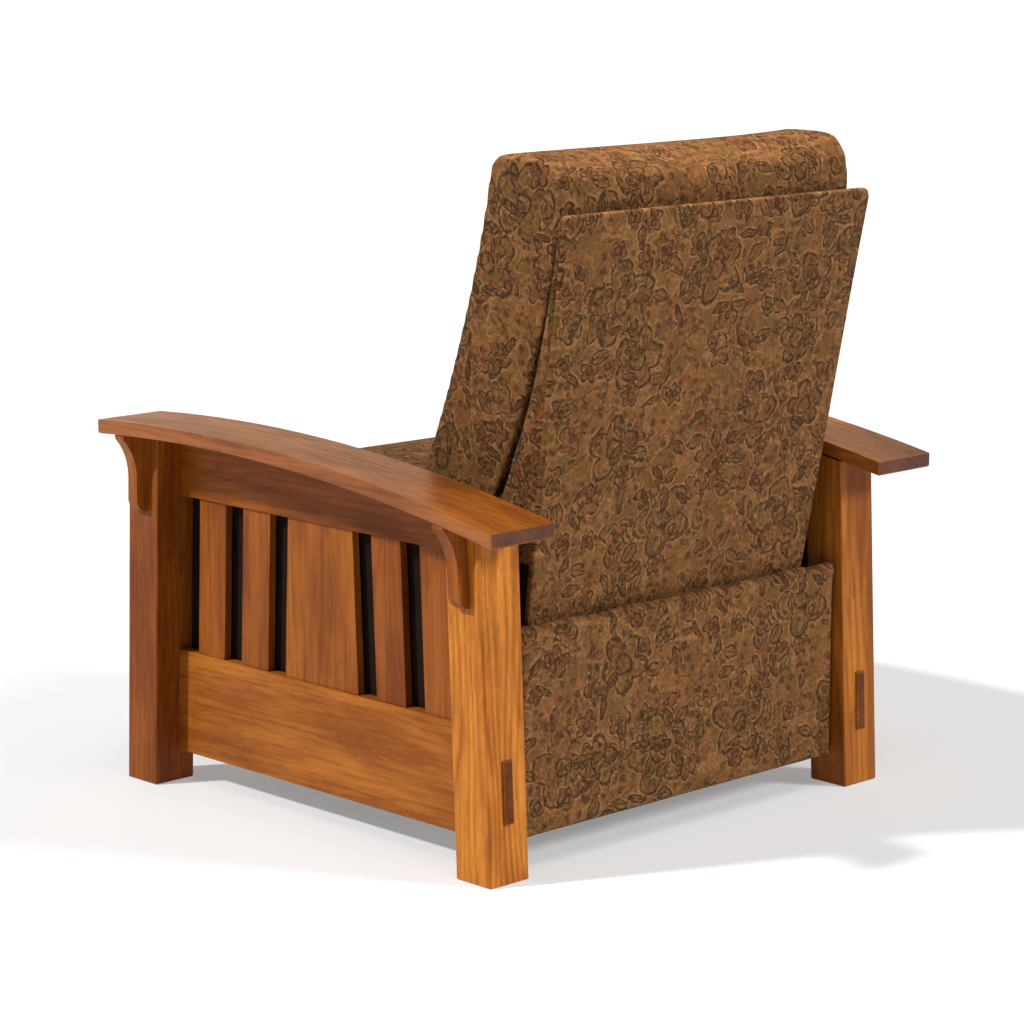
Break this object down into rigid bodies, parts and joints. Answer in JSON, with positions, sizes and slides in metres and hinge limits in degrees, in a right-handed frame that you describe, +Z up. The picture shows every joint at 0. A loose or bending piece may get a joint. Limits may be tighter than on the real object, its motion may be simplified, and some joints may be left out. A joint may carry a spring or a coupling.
{
  "type": "mission reclining armchair",
  "caption": "Wooden armchair with bowed arms, slatted sides and corbels, an upholstered back that reclines as the seat glides, and a fold-out footrest.",
  "frame": {"origin": "on the floor, under the middle of the chair's bounding box", "axes": "+X to the sitter's left, -Y towards the chair's front, +Z up"},
  "size_m": [0.95, 0.8989, 1.028],
  "materials": {
    "oak": "satin golden-brown varnish",
    "frame_wood": "plain sawn and planed",
    "tapestry": "woven tapestry with outlined flowers and leaves",
    "lining_cloth": "black cloth",
    "webbing": "woven webbing",
    "link_steel": "black paint",
    "bright_steel": "zinc plated"
  },
  "bodies": {
    "frame": {"arm_left": "oak", "arm_right": "oak", "base_bolts": "bright_steel", "base_bushes": "bright_steel", "base_cleats": "frame_wood", "base_corner_blocks": "frame_wood", "base_front_stretcher": "frame_wood", "base_plates": "link_steel", "base_rear_rail": "frame_wood", "base_rivets": "bright_steel", "base_sides": "frame_wood", "corbels_left": "oak", "corbels_right": "oak", "end_blocks": "oak", "leg_front_left": "oak", "leg_front_right": "oak", "leg_rear_left": "oak", "leg_rear_right": "oak", "lower_rail_left": "oak", "lower_rail_right": "oak", "narrow_slats_left": "oak", "narrow_slats_right": "oak", "rear_panel_board": "frame_wood", "rear_panel_pad": "tapestry", "side_linings": "lining_cloth", "upper_rail_left": "oak", "upper_rail_right": "oak", "wide_slat_left": "oak", "wide_slat_right": "oak"},
    "seat": {"seat_plates": "link_steel", "seat_bushes": "bright_steel", "seat_rivets": "bright_steel", "seat_side_rails": "frame_wood", "seat_cross_rails": "frame_wood", "seat_springs": "bright_steel", "seat_deck": "lining_cloth", "seat_cushion": "tapestry"},
    "back": {"back_sides": "frame_wood", "back_rails": "frame_wood", "back_straps": "webbing", "back_brackets": "link_steel", "recline_pins": "bright_steel", "back_wing_left": "tapestry", "back_wing_right": "tapestry", "outside_back": "tapestry", "back_cushion": "tapestry"},
    "front_swing_links": {"swing_links_front": "link_steel"},
    "rear_swing_links": {"swing_links_rear": "link_steel"},
    "drive_links": {"drive_links": "link_steel", "drive_rivets": "bright_steel", "cross_tube": "link_steel"},
    "guide_links": {"guide_links": "link_steel"},
    "coupler_links": {"coupler_links": "link_steel", "coupler_rivets": "bright_steel"},
    "pad_links": {"pad_links": "link_steel", "pad_link_rivets": "bright_steel"},
    "footrest": {"footrest_brackets": "link_steel", "bracket_screws": "bright_steel", "footrest_board": "frame_wood", "footrest_pad": "tapestry"}
  },
  "joints": [
    {"name": "recline", "type": "hinge", "parent": "seat", "child": "back", "pos_m": [0, 0.2425, 0.405], "axis": [-1, 0, 0], "range_deg": [0, 40]},
    {"name": "rear_swing", "type": "hinge", "parent": "frame", "child": "rear_swing_links", "pos_m": [0, 0.08172, 0.28143], "axis": [1, 0, 0], "range_deg": [0, 40]},
    {"name": "front_swing", "type": "hinge", "parent": "frame", "child": "front_swing_links", "pos_m": [0, -0.33828, 0.28143], "axis": [1, 0, 0], "range_deg": [0, 40]},
    {"name": "seat_glide", "type": "hinge", "parent": "rear_swing_links", "child": "seat", "pos_m": [0, 0.1125, 0.366], "axis": [-1, 0, 0], "range_deg": [0, 40]},
    {"name": "footrest_drive", "type": "hinge", "parent": "seat", "child": "drive_links", "pos_m": [0, -0.1775, 0.362], "axis": [-1, 0, 0], "range_deg": [0, 90]},
    {"name": "footrest_guide", "type": "hinge", "parent": "seat", "child": "guide_links", "pos_m": [0, -0.2435, 0.362], "axis": [-1, 0, 0], "range_deg": [0, 90]},
    {"name": "footrest_coupler", "type": "hinge", "parent": "drive_links", "child": "coupler_links", "pos_m": [0, -0.08857, 0.11768], "axis": [1, 0, 0], "range_deg": [0, 90]},
    {"name": "footrest_pad_link", "type": "hinge", "parent": "drive_links", "child": "pad_links", "pos_m": [0, -0.10226, 0.15527], "axis": [1, 0, 0], "range_deg": [0, 90]},
    {"name": "footrest_panel", "type": "hinge", "parent": "coupler_links", "child": "footrest", "pos_m": [0, -0.3375, 0.24], "axis": [-1, 0, 0], "range_deg": [0, 90]}
  ],
  "couplings": [
    {"joint": "rear_swing", "follows": "recline", "ratio": 1},
    {"joint": "front_swing", "follows": "recline", "ratio": 1},
    {"joint": "seat_glide", "follows": "recline", "ratio": 1},
    {"joint": "footrest_guide", "follows": "footrest_drive", "ratio": 1},
    {"joint": "footrest_coupler", "follows": "footrest_drive", "ratio": 1},
    {"joint": "footrest_pad_link", "follows": "footrest_drive", "ratio": 1},
    {"joint": "footrest_panel", "follows": "footrest_drive", "ratio": 1}
  ]
}
